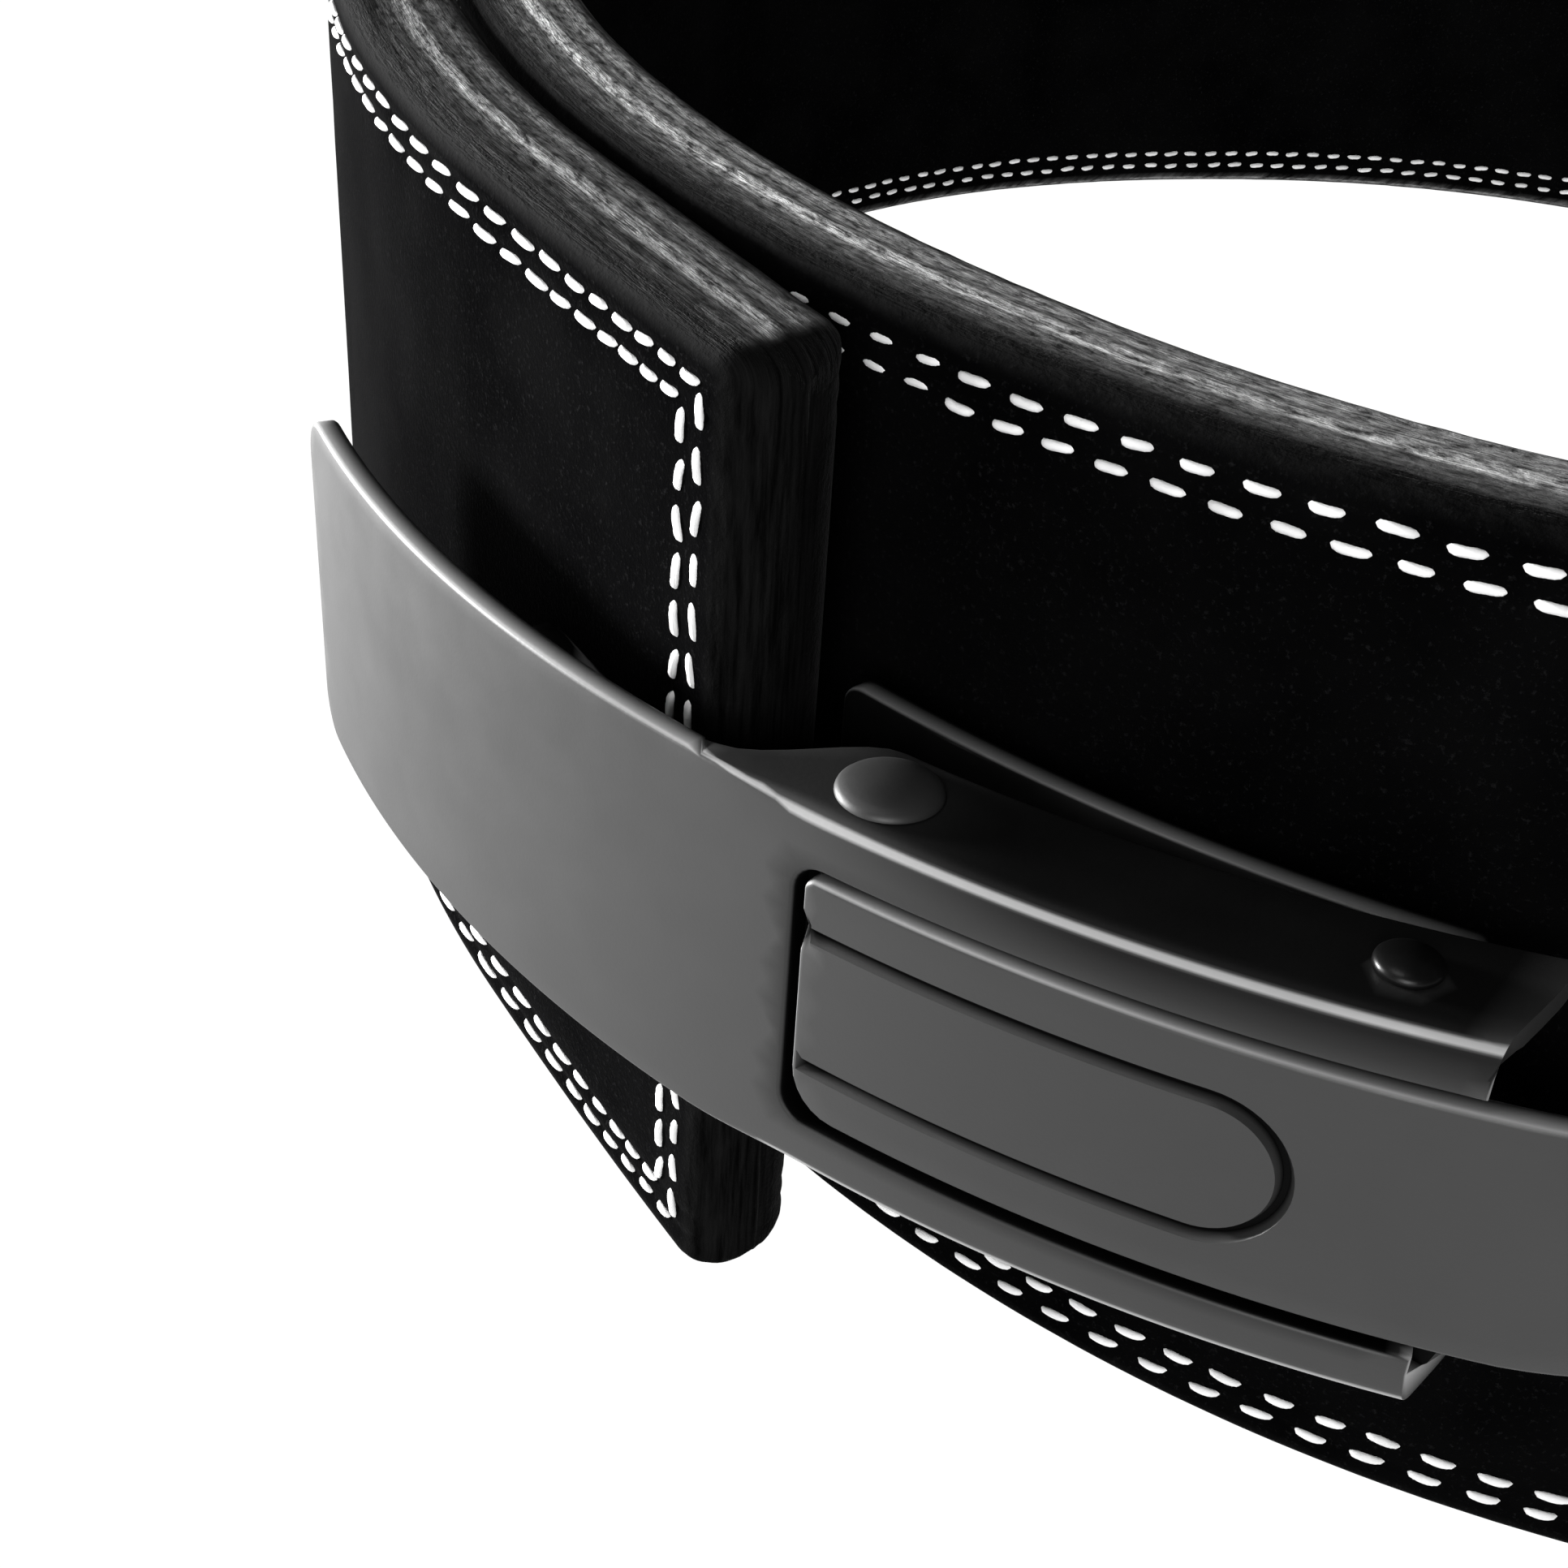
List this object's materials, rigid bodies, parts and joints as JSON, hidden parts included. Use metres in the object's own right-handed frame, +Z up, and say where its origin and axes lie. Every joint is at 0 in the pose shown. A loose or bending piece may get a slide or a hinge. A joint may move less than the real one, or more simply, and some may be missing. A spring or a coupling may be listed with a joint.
{
  "type": "weightlifting belt",
  "caption": "Thick leather lifting belt, fastened by a curved steel lever buckle with an over-centre link plate.",
  "frame": {"origin": "on the surface the belt stands on, under the middle of the whole belt's box", "axes": "+Z up along the belt's width, -Y towards the front of the buckle, +X to the right seen from the front"},
  "size_m": [0.3796, 0.3904, 0.1],
  "materials": {
    "black_suede": "napped suede, burnished cut edges",
    "satin_steel": "satin dark grey coat",
    "black_steel": "semi-gloss black",
    "white_thread": "bonded white sewing thread"
  },
  "bodies": {
    "root": {"belt_strap": "black_suede", "lever_handle": "satin_steel", "link_plate": "satin_steel", "mount_plate": "black_steel", "pivot_pin": "black_steel", "link_pin": "satin_steel", "mount_screw_1": "satin_steel", "mount_screw_2": "satin_steel", "mount_screw_3": "satin_steel", "mount_screw_4": "satin_steel"}
  },
  "joints": []
}
